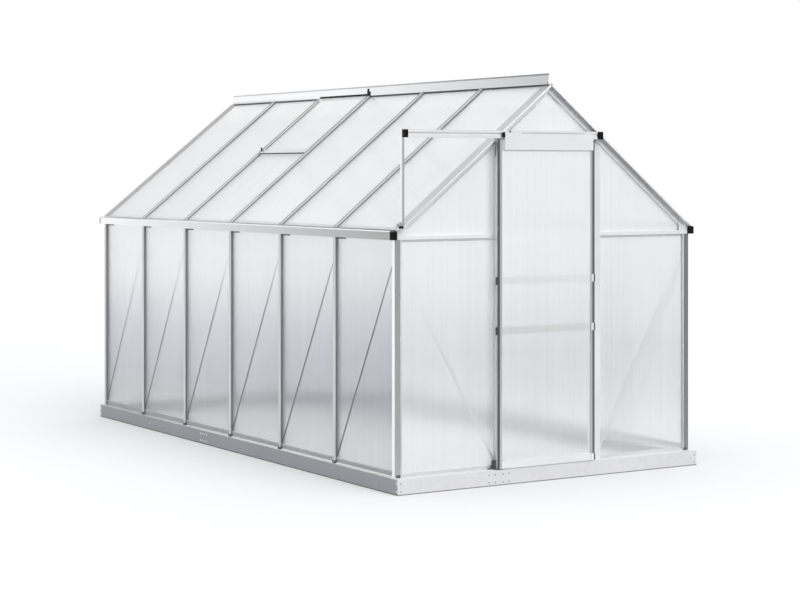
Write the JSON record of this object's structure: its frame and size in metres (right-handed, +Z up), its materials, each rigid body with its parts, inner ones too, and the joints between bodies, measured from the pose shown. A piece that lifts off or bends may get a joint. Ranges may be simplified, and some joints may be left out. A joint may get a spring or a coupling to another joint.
{
  "type": "greenhouse",
  "caption": "Long gabled greenhouse of translucent twin-wall sheets in a light metal frame on a sheet-metal base, with a sliding front door, side gutters and a roof window.",
  "frame": {"origin": "The middle of the overall footprint, at ground level. The footprint runs from the door's roller carrier in front to the back of the base.", "axes": "X runs across the front to the right, as seen from the front; Y from the front, where the door is, to the back; Z up."},
  "size_m": [1.99, 3.76, 2.156],
  "materials": {
    "base_sheet": "galvanised, dull",
    "bar_metal": "mill, satin",
    "plate_metal": "smooth, satin",
    "brace_metal": "galvanised strip",
    "twin_wall": "translucent, fluted, semi-gloss",
    "black_plastic": "moulded",
    "grey_plastic": "moulded"
  },
  "bodies": {
    "building": {"plinth_ends": "base_sheet", "plinth_sides": "base_sheet", "plinth_joints": "base_sheet", "side_sills": "bar_metal", "end_sills": "bar_metal", "corner_posts": "bar_metal", "wall_posts": "bar_metal", "back_posts": "bar_metal", "door_post_left": "bar_metal", "door_post_right": "bar_metal", "eaves_bars": "bar_metal", "gutter_left": "bar_metal", "gutter_right": "bar_metal", "gutter_caps": "black_plastic", "gable_rafters": "bar_metal", "roof_bars_left": "bar_metal", "roof_bars_right": "bar_metal", "ridge_beam": "bar_metal", "ridge_cap": "bar_metal", "apex_plates": "plate_metal", "gussets": "plate_metal", "wall_braces": "brace_metal", "wall_panels_left": "twin_wall", "wall_panels_right": "twin_wall", "wall_panels_back": "twin_wall", "wall_panels_front": "twin_wall", "gable_panels": "twin_wall", "roof_panels_left": "twin_wall", "roof_panels_right": "twin_wall", "window_frame": "bar_metal", "window_panel": "twin_wall", "window_sill": "bar_metal", "window_stop": "black_plastic", "door_rail": "bar_metal", "rail_caps": "black_plastic", "rail_upright": "bar_metal", "door_guides": "grey_plastic"},
    "door": {"door_stiles": "bar_metal", "door_seals": "black_plastic", "door_rails": "bar_metal", "door_head": "plate_metal", "door_clips": "grey_plastic", "door_panels": "twin_wall", "door_rollers": "black_plastic"}
  },
  "joints": [
    {"name": "door_slide", "type": "slide", "parent": "building", "child": "door", "axis": [-1, 0, 0], "range_m": [0, 0.55]}
  ]
}
